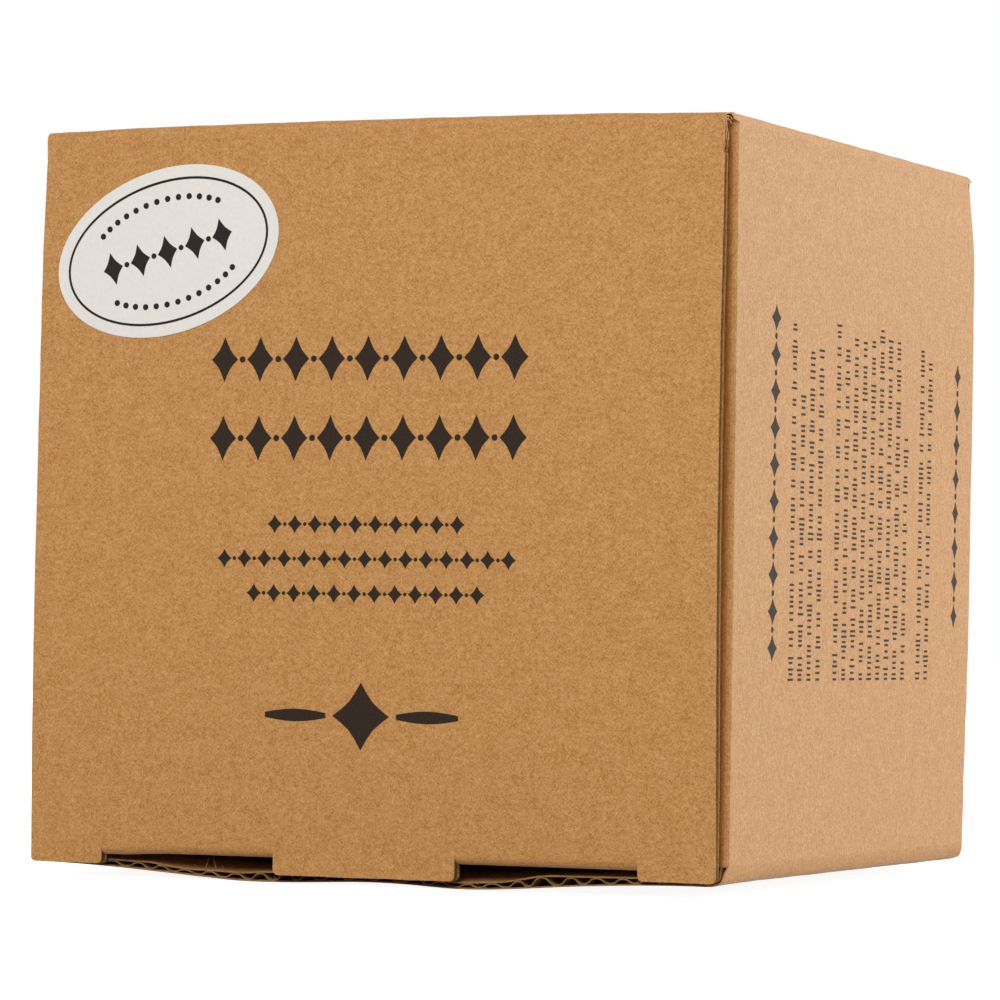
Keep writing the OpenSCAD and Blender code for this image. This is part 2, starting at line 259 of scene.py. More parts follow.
def new_piece(name, points, faces, paper, material, slot=None, sharp=38.0, cut_faces=0):
    """A mesh object from points in millimetres, with the paper's own coordinates on it.

    The last cut_faces of its faces are cut edges of the sheet."""
    mesh = bpy.data.meshes.new(name)
    mesh.from_pydata([tuple(p) for p in np.asarray(points) * MM], [], faces)
    layer = mesh.attributes.new("paper", "FLOAT_VECTOR", "POINT")
    layer.data.foreach_set("vector", np.asarray(paper, np.float32).ravel())
    work = bmesh.new()
    work.from_mesh(mesh)
    bmesh.ops.recalc_face_normals(work, faces=work.faces)
    work.to_mesh(mesh)
    work.free()
    mesh.shade_smooth()
    mesh.set_sharp_from_angle(angle=math.radians(sharp))
    mesh.materials.append(material)
    if cut_faces:
        mesh.materials.append(CUT_EDGE)
        for face in mesh.polygons[-cut_faces:]:
            face.material_index = 1
    piece = new_object(name, mesh)
    return piece


def cut_flat(outline, places):
    """A flat face with this outline, cut along lines at these places across it and along it."""
    flat = bmesh.new()
    flat.faces.new([flat.verts.new((u, v, 0.0)) for u, v in outline])
    for normal, line in zip((Vector((1, 0, 0)), Vector((0, 1, 0))), places):
        for place in line:
            geometry = [*flat.verts, *flat.edges, *flat.faces]
            bmesh.ops.bisect_plane(flat, geom=geometry, dist=1e-4, plane_co=normal * place, plane_no=normal)
    flat.verts.index_update()
    uv = np.array([v.co[:2] for v in flat.verts])
    faces = [[v.index for v in f.verts] for f in flat.faces]
    rim = [(e.verts[0].index, e.verts[1].index) for e in flat.edges if len(e.link_faces) == 1]
    flat.free()
    return uv, faces, rim


def grid(columns, rows):
    """Faces and rim of a grid of points that are numbered row after row in each column."""
    faces = [[a, a + rows, a + rows + 1, a + 1]
             for first in range(0, (columns - 1) * rows, rows) for a in range(first, first + rows - 1)]
    last = (columns - 1) * rows
    rim = [(a, a + 1) for first in (0, last) for a in range(first, first + rows - 1)]
    rim += [(a, a + rows) for first in (0, rows - 1) for a in range(first, first + last, rows)]
    return faces, rim


def thicken(count, faces, rim):
    """Faces of a sheet of that many points and of its copy below, with a wall round its rim."""
    below = [[i + count for i in reversed(face)] for face in faces]
    wall = [[a, b, b + count, a + count] for a, b in rim]
    return faces + below + wall


def shifted(faces, first):
    """The same faces for points that are numbered from first on."""
    return [[i + first for i in face] for face in faces]


def lines(low, high, step, near_edges=()):
    """Places of cut lines between two edges, with some close to each edge."""
    count = max(2, round((high - low) / step))
    inside = [low + (high - low) * i / count for i in range(1, count)]
    return inside + [low + e for e in near_edges] + [high - e for e in near_edges]


def span(outline, u):
    """Lowest and highest place along the flutes where the outline crosses this place across them."""
    found = []
    for (u0, v0), (u1, v1) in zip(outline, outline[1:] + outline[:1]):
        if (u0 - u) * (u1 - u) <= 0 and u0 != u1:
            found.append(v0 + (v1 - v0) * (u - u0) / (u1 - u0))
    return min(found), max(found)


# Spacing of a board's mesh lines, those close to its edges, and how ragged its cut edges are
GRID_STEP = 3.0
EDGE_LINES = (0.3, 1.0)
RAGGED_LINER = 0.03
RAGGED_MEDIUM = 0.05

# The medium: how far its edges lie back, how full its flutes' crests are, how far these lean and
# wander, and the spacing of its mesh
MEDIUM_INSET = 0.06
CREST = 1.7
FLUTE_LEAN = 0.008
FLUTE_DRIFT = 0.7
FLUTE_SHIFT = 0.6
COLUMNS_IN_FLUTE = 12
MEDIUM_STEP = 5.0
MEDIUM_EDGE = 0.4


class Board:
    """A board in its own coordinates: u across the flutes, v along them, n out of its outer face."""

    def __init__(self, name, body, origin, across, along, out, outline, paper, warp, seams, squeeze=None,
                 step=GRID_STEP):
        self.name, self.body, self.outline, self.step = name, body, outline, step
        self.origin = np.array(origin, float)
        self.axes = np.array([across, along, out], float)
        self.paper, self.warp, self.seams = paper, warp, seams
        self.squeeze = squeeze or (lambda u, v: np.ones_like(u))

    def place(self, u, v, n):
        flat = np.stack([u, v, n], axis=1)
        return self.warp(self.origin + flat @ self.axes)

    def paper_at(self, u, v, n, sheet):
        p, q = self.paper(u, v)
        return np.stack([p, q, sheet + n], axis=1)

    def add_sheet(self, name, u, v, n, faces, rim, sheet, material, slot, **looks):
        """One sheet, from the places of its points and the heights of its upper and its lower face."""
        faces = thicken(len(u), faces, rim)
        u, v, n = np.concatenate([u, u]), np.concatenate([v, v]), np.concatenate(n)
        piece = new_piece(name + "_sheet", self.place(u, v, n), faces, self.paper_at(u, v, n, sheet),
                          material, slot, **looks)
        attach(piece, self.body)
        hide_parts(name)

    def liner(self, suffix, depth_share, sheet, material):
        """One liner: its upper face lies at this share of the board's depth."""
        us, vs = zip(*self.outline)
        across = lines(min(us), max(us), self.step, EDGE_LINES)
        along = lines(min(vs), max(vs), GRID_STEP, EDGE_LINES)
        uv, faces, rim = cut_flat(self.outline, (across, along))
        u, v = uv.T
        cut_edge = np.zeros(len(u), bool)
        cut_edge[[i for edge in rim for i in edge]] = True
        cut_edge &= ~self.seams(u, v)
        ragged = np.array([noise.random_vector()[:2] for _ in u]) * RAGGED_LINER
        u = u + ragged[:, 0] * cut_edge
        v = v + ragged[:, 1] * cut_edge
        upper = -(BOARD_T * self.squeeze(u, v) - LINER_T) * depth_share
        self.add_sheet(f"{self.name}_{suffix}", u, v, (upper, upper - LINER_T), faces, rim, sheet,
                       material, "kraft_liner", cut_faces=len(rim))

    def fluting(self, material):
        """The fluted sheet between the liners, a little uneven from flute to flute."""
        us = [u for u, v in self.outline]
        columns = np.arange(min(us) + MEDIUM_INSET, max(us) - MEDIUM_INSET, FLUTE_PITCH / COLUMNS_IN_FLUTE)
        spans = np.array([span(self.outline, u) for u in columns])
        rows = max(4, int((spans[:, 1].max() - spans[:, 0].min()) / MEDIUM_STEP))
        inner = np.linspace(1.0 / rows, 1.0 - 1.0 / rows, rows - 1)
        share = np.array([0.0, MEDIUM_EDGE / rows, *inner, 1.0 - MEDIUM_EDGE / rows, 1.0])
        u, s = (a.ravel() for a in np.meshgrid(columns, share, indexing="ij"))
        low, high = (np.repeat(spans[:, k], len(share)) for k in (0, 1))
        ragged = np.array([uneven(a * 1.7, b * 9.0, 3.1) for a, b in zip(u, s)])
        v = low + MEDIUM_INSET + (high - low - 2 * MEDIUM_INSET) * s + RAGGED_MEDIUM * ragged
        drift = np.array([uneven(a * 0.21, 5.0, b * 0.7) for a, b in zip(u, s)])
        skew = FLUTE_DRIFT * drift - FLUTE_SHIFT * smooth(-8.0, 8.0, u)
        turn = 2 * np.pi * (u + FLUTE_LEAN * v + skew) / FLUTE_PITCH
        wave = np.tanh(CREST * np.cos(turn)) / np.tanh(CREST)
        height = BOARD_T * self.squeeze(u, v) - 2 * LINER_T
        middle = -(LINER_T + height / 2) + wave * np.maximum(0.02, (height - MEDIUM_T) / 2)
        half = np.minimum(MEDIUM_T, height - 0.04) / 2
        faces, rim = grid(len(columns), len(share))
        self.add_sheet(self.name + "_fluting", u, v, (middle + half, middle - half), faces, rim,
                       MEDIUM_SHEET, material, "fluting_medium", sharp=60.0)


# How a crease is crushed: how far from its ends that starts and is full
CRUSH = (0.4, 2.0)

# Steps of a crease's mesh round its bend, on each straight part beside it, and along the crease
BEND_STEPS = 8
STRAIGHT_STEPS = 3
CREASE_STEP = 1.2


class Fold:
    """A crushed crease that runs from one board's outer face round a corner to another's.

    The path lies in a plane: start, corner and end are points of the outer face, and the crease
    is drawn out along a third direction between two places."""

    def __init__(self, name, start, corner, end, radius, along, places, warp, paper_start, paper_end,
                 run=(0.0, 1.0), facet=0.0):
        self.name, self.radius, self.places, self.warp, self.facet = name, radius, places, warp, facet
        self.start, self.corner, self.end, self.along = np.array([start, corner, end, along], float)
        self.paper_start, self.paper_end, self.run = paper_start, paper_end, run

    def path(self):
        """Points of the outer face, their outward normals and distances along the path.

        The bend turns by a right angle. Where its facet is over zero, the first and the last
        part of that turn are sudden, as in a board that was scored before it was folded."""
        start, corner, end = self.start, self.corner, self.end
        to_start, to_end = start - corner, end - corner
        a, b = to_start / np.linalg.norm(to_start), to_end / np.linalg.norm(to_end)
        steps = (np.arange(BEND_STEPS) + 0.5) / BEND_STEPS
        angles = np.radians(self.facet + (90 - 2 * self.facet) * steps)
        tangents = np.outer(np.cos(angles), -a) + np.outer(np.sin(angles), b)
        tangents *= self.radius * math.sqrt(2) / np.linalg.norm(tangents.sum(axis=0))
        first, last = corner + a * self.radius, corner + b * self.radius
        bend = first + np.concatenate([[np.zeros(3)], np.cumsum(tangents, axis=0)])
        shares = np.linspace(0, 1, STRAIGHT_STEPS + 1)[:-1, None]
        points = np.concatenate([start + (first - start) * shares, bend, end + (last - end) * shares[::-1]])
        turn = np.concatenate([[0.0], angles, [np.pi / 2]])
        turn = np.concatenate([np.zeros(STRAIGHT_STEPS), (turn[1:] + turn[:-1]) / 2,
                               np.full(STRAIGHT_STEPS, np.pi / 2)])
        normals = np.outer(np.cos(turn), -b) + np.outer(np.sin(turn), -a)
        lengths = np.linalg.norm(np.diff(points, axis=0), axis=1)
        return points, normals, np.concatenate([[0], np.cumsum(lengths)])

    def paper_at(self, share, place):
        """The paper's own coordinates at a share of the path and a place along the crease."""
        return [p + (q - p) * share + run * place
                for p, q, run in zip(self.paper_start, self.paper_end, self.run)]

    def build(self, relief=None, ends=None):
        """Three crushed sheets. relief gives the outer face's height at a share of the path and a
        place along the crease; ends gives how far each end stops short at a share of the path."""
        points, normals, distance = self.path()
        share = distance / distance[-1]
        edge = np.minimum(distance, distance[-1] - distance)
        thick = BOARD_T + (CREASE_T - BOARD_T) * smooth(*CRUSH, edge)
        low, high = self.places
        count = max(3, round((high - low) / CREASE_STEP))
        short = np.array([ends(s) if ends else (0.0, 0.0) for s in share])
        sheet_faces = thicken((count + 1) * len(points), *grid(count + 1, len(points)))
        verts, faces, paper = [], [], []
        for top, paper_t, sheet in (
            (np.zeros_like(thick), LINER_T, OUTER_SHEET),
            (thick / 2 - MEDIUM_T / 2, MEDIUM_T, MEDIUM_SHEET),
            (thick - LINER_T, LINER_T, INNER_SHEET),
        ):
            faces += shifted(sheet_faces, len(verts))
            for depth in (top, top + paper_t):
                for k in range(count + 1):
                    for i in range(len(points)):
                        place = low + short[i, 0] + (high - low - short[i].sum()) * k / count
                        lift = relief(share[i], place) if relief else 0.0
                        verts.append(points[i] - normals[i] * (depth[i] - lift) + self.along * place)
                        paper.append((*self.paper_at(share[i], place), sheet - depth[i]))
        return new_piece(self.name + "_strip", self.warp(np.array(verts)), faces, paper, LINER,
                         "kraft_crease", sharp=15.0 if self.facet else 38.0)


# Materials


class Nodes:
    """Short calls for making the nodes of a material or of the world."""

    def __init__(self, owner):
        owner.use_nodes = True
        self.owner = owner
        self.tree = owner.node_tree
        self.shader = self.tree.nodes.get("Principled BSDF")

    def fill(self, node, values):
        """Gives a node's inputs, by name or number, a plain value or another node's output."""
        for key, value in values.items():
            if isinstance(value, bpy.types.NodeSocket):
                self.tree.links.new(value, node.inputs[key])
            else:
                node.inputs[key].default_value = value

    def add(self, kind, values=None, **settings):
        node = self.tree.nodes.new(kind)
        for key, value in settings.items():
            setattr(node, key, value)
        self.fill(node, values or {})
        return node

    def maths(self, operation, *values, clamp=False):
        values = dict(enumerate(values))
        return self.add("ShaderNodeMath", values, operation=operation, use_clamp=clamp).outputs[0]

    def paper(self):
        return self.add("ShaderNodeAttribute", attribute_name="paper").outputs["Vector"]

    def turned(self, vector, turn, size, shift=0.0):
        """Coordinates turned by degrees and then divided by a size in each direction."""
        values = {"Vector": vector, "Rotation": (0, 0, math.radians(turn)), "Scale": size,
                  "Location": (shift, shift * 2.3, 0)}
        return self.add("ShaderNodeMapping", values, vector_type="TEXTURE").outputs[0]

    def noise(self, vector, scale, detail=2.0, rough=0.5):
        values = {"Vector": vector, "Scale": scale, "Detail": detail, "Roughness": rough}
        return self.add("ShaderNodeTexNoise", values).outputs["Fac"]

    def spread(self, value, low, high, to_low=0.0, to_high=1.0):
        """A value taken from one range to another and kept inside it."""
        values = dict(enumerate((value, low, high, to_low, to_high)))
        return self.add("ShaderNodeMapRange", values, clamp=True).outputs[0]

    def mix(self, share, first, second):
        return self.add("ShaderNodeMix", {0: share, 6: first, 7: second}, data_type="RGBA").outputs[2]

    def strokes(self, vector, turn, length, width, share_kept, seed):
        """Sparse short strokes: 1 on a stroke, 0 off it. Sizes are in millimetres."""
        values = {"Vector": self.turned(vector, turn, (length, width, 1.0), seed), "Scale": 0.42}
        cell = self.add("ShaderNodeTexVoronoi", values, voronoi_dimensions="2D", feature="F1").outputs
        near = self.spread(cell["Distance"], 0.08, 0.2, 1.0, 0.0)
        pick = self.add("ShaderNodeSeparateColor", {0: cell["Color"]}).outputs
        strength = self.maths("MULTIPLY", near, self.maths("LESS_THAN", pick[0], share_kept))
        return self.maths("MULTIPLY", strength, self.spread(pick[1], 0.0, 1.0, 0.25, 1.0))

    def seen_ray(self):
        """1 for rays that show the background itself, in the picture, a reflection or a glass."""
        path = self.add("ShaderNodeLightPath").outputs
        shown = self.maths("MAXIMUM", path["Is Camera Ray"], path["Is Glossy Ray"])
        return self.maths("MAXIMUM", shown, path["Is Transmission Ray"])

    def bump(self, height, strength, distance):
        values = {"Strength": strength, "Distance": distance * MM, "Height": height}
        self.fill(self.shader, {"Normal": self.add("ShaderNodeBump", values).outputs[0]})


def colour(red, green, blue):
    """A colour from its screen values, 0 to 255."""
    def linear(c):
        c /= 255
        return c / 12.92 if c <= 0.04045 else ((c + 0.055) / 1.055) ** 2.4
    return (linear(red), linear(green), linear(blue), 1.0)


# Stray fibres in the paper: colour, length, width, share of the places that have one and strength,
# then the direction and the seed of each set of them
STRAY_FIBRES = (
    (colour(96, 64, 34), 0.6, 0.2, 0.05, 0.45, ((35.0, 3.0), (-62.0, 17.0), (88.0, 29.0), (8.0, 71.0))),
    (colour(226, 188, 144), 1.0, 0.16, 0.04, 0.3, ((15.0, 41.0), (118.0, 53.0))),
)


def kraft(name, brown, pale, gloss=1.0, strokes=1.0):
    """Brown kraft paper: fine grain, broader clouds, and stray dark and pale fibres."""
    n = Nodes(bpy.data.materials.new(name))
    paper = n.paper()
    fine = n.noise(n.turned(paper, 0.0, (1.1, 1.0, 1.0)), 5.0, 1.0, 0.5)
    leaning = n.noise(n.turned(paper, 52.0, (2.6, 0.9, 1.0), 13.0), 4.6, 1.0, 0.5)
    crossing = n.noise(n.turned(paper, -38.0, (2.6, 0.9, 1.0), 47.0), 4.6, 1.0, 0.5)
    fibrous = n.maths("MAXIMUM", leaning, crossing)
    grain = n.spread(n.maths("MULTIPLY_ADD", fine, 0.45, n.maths("MULTIPLY", fibrous, 0.55)), 0.41, 0.66)
    blotch = n.spread(n.noise(n.turned(paper, 0.0, (1.3, 1.0, 1.0), 31.0), 1.5, 2.0, 0.6), 0.34, 0.66)
    cloud = n.spread(n.noise(paper, 0.4, 2.0, 0.5), 0.3, 0.7)
    share = n.maths("MULTIPLY_ADD", blotch, 0.26, n.maths("MULTIPLY", cloud, 0.16))
    share = n.maths("MULTIPLY_ADD", grain, 0.6, share, clamp=True)
    shade = n.mix(share, brown, pale)
    for tone, length, width, share_kept, strength, sets in STRAY_FIBRES:
        for turn, seed in sets:
            stroke = n.strokes(paper, turn, length, width, share_kept, seed)
            shade = n.mix(n.maths("MULTIPLY", stroke, strength * strokes), shade, tone)
    n.fill(n.shader, {
        "Base Color": shade,
        "Roughness": n.spread(grain, 0.0, 1.0, 0.72, 0.6),
        "Specular IOR Level": 0.5 * gloss,
        "Sheen Weight": 0.12 * gloss,
        "Sheen Roughness": 0.4,
    })
    across = n.add("ShaderNodeSeparateXYZ", {0: paper}).outputs[0]
    wave = n.maths("SINE", n.maths("MULTIPLY", across, 2 * math.pi / FLUTE_PITCH))
    height = n.maths("MULTIPLY_ADD", grain, 0.5, n.maths("MULTIPLY", blotch, 0.5))
    n.bump(n.maths("MULTIPLY_ADD", wave, 0.35, height), 0.5, 0.04)
    return n.owner


def sticker_paper():
    """White label paper, almost even."""
    n = Nodes(bpy.data.materials.new("label_paper_white"))
    paper = n.paper()
    grain = n.spread(n.noise(paper, 2.2, 3.0, 0.6), 0.3, 0.7)
    n.fill(n.shader, {
        "Base Color": n.mix(grain, colour(228, 224, 216), colour(234, 230, 223)),
        "Roughness": n.spread(grain, 0.0, 1.0, 0.45, 0.52),
    })
    n.bump(grain, 0.3, 0.012)
    return n.owner


def ink(name, tone, bare, cover):
    """Printing ink that the paper's grain shows through."""
    n = Nodes(bpy.data.materials.new(name))
    grain = n.noise(n.paper(), 4.5, 3.0, 0.7)
    worn = n.spread(grain, 0.54, 0.74, 0.0, 1.0 - cover)
    n.fill(n.shader, {
        "Base Color": n.mix(worn, tone, bare),
        "Roughness": n.spread(grain, 0.3, 0.7, 0.75, 0.6),
        "Specular IOR Level": 0.12,
    })
    n.bump(grain, 0.35, 0.03)
    return n.owner


LINER = kraft("kraft_liner_brown", colour(158, 97, 8), colour(211, 161, 100))
INSIDE = kraft("kraft_inside_brown", colour(160, 104, 20), colour(211, 162, 98), 0.3)
CUT_EDGE = kraft("kraft_cut_edge", colour(120, 84, 42), colour(184, 144, 94), 0.05)
MEDIUM = kraft("fluting_grey_brown", colour(104, 76, 44), colour(162, 130, 90), 0.1, 0.6)
FIBRE = kraft("loose_fibre", colour(160, 116, 66), colour(212, 172, 122), 0.5, 0.0)
LABEL = sticker_paper()
KRAFT_INK = ink("ink_on_kraft", colour(44, 34, 26), colour(112, 80, 50), 0.75)
LABEL_INK = ink("ink_on_label", colour(40, 33, 28), colour(84, 76, 68), 0.8)


# Outlines, as points across and along the flutes


def arc(centre, radius, first, last, steps=6):
    """Points of an arc between two angles in degrees."""
    angles = [math.radians(first + (last - first) * i / steps) for i in range(steps + 1)]
    return [(centre[0] + radius * math.cos(a), centre[1] + radius * math.sin(a)) for a in angles]


# A torn bit near the top of the front lid's right edge: inset and height of each point
NICK_Z = 85.4
TORN = [(0.0, -0.3), (0.2, 0.0), (0.08, 0.2), (0.14, 0.4), (0.0, 0.6)]

# How much narrower the lid is at its upper left corner, and how far down that reaches
TAPER = 0.45
TAPER_H = 12.0

# How far the front lid's left lip hangs below its right one
LIP_DROP = 0.2

# The tuck flap's corners: how far they lean in, and their radius
TUCK_LEAN = 3.0
TUCK_R = 8.0

# How far the glue flap's ends lean in
GLUE_LEAN = 6.0

# The dust flaps: height of their foot, and how steeply their lower and upper edges lean, in degrees
DUST_FOOT_Z = 4.95
DUST_FOOT_LEAN = 4.0
DUST_TOP_LEAN = 31.0


def lip(u0, u1, low):
    """Lower edge of one lip, from its left corner to its right corner."""
    return (arc((u0 + LIP_R, low + LIP_R), LIP_R, 180, 270)
            + arc((u1 - LIP_R, low + LIP_R), LIP_R, 270, 360))


def lid_outline(half, nick, left_drop):
    """A lid with three lips, from its upper left corner on."""
    far = NOTCH_FAR
    return (
        [(TAPER - half, LID_TOP_Z), (-half, LID_TOP_Z - TAPER_H)]
        + lip(-half, -far, OUTER_LIP_Z - left_drop) + [(-far, NOTCH_TOP_Z), (-NOTCH_NEAR, NOTCH_TOP_Z)]
        + lip(-NOTCH_NEAR, NOTCH_NEAR, MIDDLE_LIP_Z) + [(NOTCH_NEAR, NOTCH_TOP_Z), (far, NOTCH_TOP_Z)]
        + lip(far, half, OUTER_LIP_Z)
        + [(half - inset, NICK_Z + rise) for inset, rise in nick] + [(half, LID_TOP_Z)]
    )


def rectangle(u0, u1, v0, v1):
    return [(u0, v0), (u1, v0), (u1, v1), (u0, v1)]


def tuck_outline(v0, v1):
    """A tuck flap with rounded corners."""
    half = tuck_high[0]
    centre_u, centre_v = half - TUCK_LEAN - TUCK_R, v1 - TUCK_R
    return (
        [(-half, v0), (half, v0)]
        + arc((centre_u, centre_v), TUCK_R, 0, 90, 10)
        + arc((-centre_u, centre_v), TUCK_R, 90, 180, 10)
    )


def dust_outline():
    """The dust flap, with its height across the flutes."""
    top = dust_crease_high[2]
    foot_slope, top_slope = (math.tan(math.radians(a)) for a in (DUST_FOOT_LEAN, DUST_TOP_LEAN))
    return [
        (DUST_FOOT_Z, DUST_NEAR),
        (top - DUST_NEAR * top_slope, DUST_NEAR),
        (top - DUST_FAR * top_slope, DUST_FAR),
        (DUST_FOOT_Z + DUST_FAR * foot_slope, DUST_FAR),
    ]


# The boards


def tube_boards():
    """The four walls and the glue flap."""
    half_top = top_high[1]
    half_side = right_high[1]
    half_bottom = bottom_high[1]

    def crushed_front(u, v):
        """The bottom panel's front edge was pressed flat here and there."""
        places, amounts = zip(*PRESSED)
        return 1.0 - np.interp(u, places, amounts) * np.exp(-(((v + half_bottom) / 4.5) ** 2))

    def everywhere(u, v):
        return np.ones_like(u, bool)

    return [
        Board("top_panel", "tube", (0, 0, BOX_H), (1, 0, 0), (0, 1, 0), (0, 0, 1),
              rectangle(top_low[0], WALL_HALF, -half_top, half_top),
              lambda u, v: (u, v), bulge, lambda u, v: u > top_low[0] + NEAR),
        Board("right_panel", "tube", (HALF_W, 0, 0), (0, 0, 1), (0, 1, 0), (1, 0, 0),
              rectangle(SIDE_LOW_Z, right_high[2], -half_side, half_side),
              lambda u, v: (RIGHT_FOOT - u, v), bulge, everywhere),
        Board("bottom_panel", "tube", (0, 0, 0), (1, 0, 0), (0, 1, 0), (0, 0, -1),
              rectangle(-WALL_HALF, WALL_HALF, -half_bottom, half_bottom),
              lambda u, v: (BOTTOM_MIDDLE - u, v), bottom_warp,
              lambda u, v: np.abs(v) < half_bottom - NEAR, crushed_front, GRID_STEP / 2),
        Board("left_panel", "tube", (-HALF_W, 0, 0), (0, 0, 1), (0, 1, 0), (-1, 0, 0),
              rectangle(SIDE_LOW_Z, left_high[2], -half_side, half_side),
              lambda u, v: (LEFT_FOOT + u, v), bulge, everywhere),
        Board("glue_flap", "tube", (0, 0, glue_high[2]), (1, 0, 0), (0, 1, 0), (0, 0, 1),
              [(glue_low[0], -half_top), (glue_high[0], GLUE_LEAN - half_top),
               (glue_high[0], half_top - GLUE_LEAN), (glue_low[0], half_top)],
              lambda u, v: (GLUE_MIDDLE + u, v), bulge, lambda u, v: u < glue_low[0] + NEAR),
    ]


def pressed_edge(u, v, half):
    """The lid's side edges are thinner than the rest, most of all at their lower ends."""
    amount = 0.18 + 0.2 * smooth(14.0, 4.0, v) + 0.12 * smooth(72.0, 84.0, v)
    return 1.0 - amount * np.exp(-(((half - np.abs(u)) / 2.5) ** 2))


def closure_boards(side):
    """The lid, tuck flap and dust flaps of the front (side -1) or the rear (side 1)."""
    prefix, half, y = PREFIX[side], LID_HALVES[side], side * HALF_D
    nick, drop = (TORN, LIP_DROP) if side == FRONT else ([], 0.0)
    boards = [
        Board(prefix + "lid", prefix + "lid", (0, y, 0), (1, 0, 0), (0, 0, 1), (0, side, 0),
              lid_outline(half, nick, drop),
              lambda u, v: (u, side * (HALF_D + BOX_H - v)),
              lambda p: bow_front(p, side),
              lambda u, v: (v > LID_TOP_Z - NEAR) | (np.abs(v - NOTCH_TOP_Z) < NEAR),
              lambda u, v: pressed_edge(u, v, half)),
        Board(prefix + "tuck_flap", prefix + "tuck_flap", (0, y, TUCK_UNDER_Z),
              (1, 0, 0), (0, -side, 0), (0, 0, -1),
              tuck_outline(HALF_D + tuck_low[1], HALF_D + tuck_high[1]),
              lambda u, v: (u, side * (HALF_D + BOX_H + v)),
              lambda p: bow_front(p, side),
              lambda u, v: v < HALF_D + tuck_low[1] + NEAR),
    ]
    for hand, word in HANDS:
        def dust_paper(u, v, hand=hand):
            around = RIGHT_FOOT - u if hand > 0 else LEFT_FOOT + u
            return around, side * (HALF_D + BOARD_T + v)

        name = f"{prefix}{word}_dust_flap"
        boards.append(Board(
            name, name, (hand * INNER_HALF, side * DUST_FACE_Y, 0), (0, 0, 1), (-hand, 0, 0), (0, side, 0),
            dust_outline(), dust_paper, bulge, lambda u, v: v < DUST_NEAR + NEAR))
    return boards


def build_boards():
    """All boards as three sheets each, by name."""
    boards = tube_boards() + closure_boards(FRONT) + closure_boards(REAR)
    for board in boards:
        board.liner("outer_liner", 0.0, OUTER_SHEET, LINER)
        board.liner("inner_liner", 1.0, INNER_SHEET, INSIDE)
        board.fluting(MEDIUM)
    return {board.name: board for board in boards}


# The creases


# Outer radius of most creases, the bottom's and the dust flaps', and the turn of a scored one's facets
FOLD_R = 1.1
BOTTOM_FOLD_R = 2.1
DUST_FOLD_R = {FRONT: 1.5, REAR: 0.8}
DUST_FACET = 6.0


def dents(height, closeness, layer):
    """Relief of faint dents, for a share of a crease's path and a place along it."""
    return lambda s, place: height * uneven(place * closeness, s * 2.0, layer) * math.sin(math.pi * s)


def build_tube_folds():
    """Creases along the depth of the tube, at its four corners."""
    half_top, half_bottom = top_high[1], bottom_high[1]
    low = BOTTOM_BOW
    glue_z = glue_high[2]

    def slanted(share):
        """The bottom creases' cut ends lean back where they meet the side walls."""
        cut = 0.5 * smooth(0.75, 0.35, share) + 0.5 * smooth(0.25, 0.05, share)
        return cut, cut

    def hooked(share):
        """The top creases reach out over the ends of the lids' creases."""
        cut = -1.3 if 0.36 < share < 0.66 else 0.0
        return cut, cut

    def wrinkled(s, place):
        """A soft wavy dent where the side wall turns, and a pale ridge below it."""
        dent = -0.10 * math.exp(-((s - 0.12) / 0.16) ** 2)
        ridge_s = 0.52 + 0.08 * uneven(place * 0.09, 1.0, 0)
        ridge = 0.13 * math.exp(-((s - ridge_s) / 0.10) ** 2)
        wave = 0.10 * uneven(place * 0.22, s * 2.0, 4.0) * math.sin(math.pi * s)
        return (dent + ridge + wave) * math.sin(math.pi * min(1.0, s * 3.0) / 2)

    plain = dents(0.06, 0.2, 9.0)
    folds = [
        ("top_right_crease", (WALL_HALF, 0, BOX_H), (HALF_W, 0, BOX_H), (HALF_W, 0, right_high[2]),
         FOLD_R, half_top, WALL_HALF, RIGHT_FOOT - right_high[2], plain, hooked),
        ("bottom_right_crease", (HALF_W, 0, SIDE_LOW_Z), (HALF_W, 0, low), (WALL_HALF, 0, low),
         BOTTOM_FOLD_R, half_bottom, RIGHT_FOOT - SIDE_LOW_Z, BOTTOM_MIDDLE - WALL_HALF, wrinkled, slanted),
        ("bottom_left_crease", (-HALF_W, 0, SIDE_LOW_Z), (-HALF_W, 0, low), (-WALL_HALF, 0, low),
         BOTTOM_FOLD_R, half_bottom, LEFT_FOOT + SIDE_LOW_Z, BOTTOM_MIDDLE + WALL_HALF, plain, slanted),
        ("glue_flap_crease", (-HALF_W, 0, left_high[2]), (-HALF_W, 0, glue_z), (-WALL_HALF, 0, glue_z),
         FOLD_R, half_top, LEFT_FOOT + left_high[2], GLUE_MIDDLE - WALL_HALF, plain, None),
    ]
    for name, start, corner, end, radius, half, first, last, relief, ends in folds:
        fold = Fold(name, start, corner, end, radius, (0, 1, 0), (-half, half), bulge,
                    (first, 0.0), (last, 0.0))
        piece = fold.build(relief, ends)
        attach(piece, "tube")
        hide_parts(name)


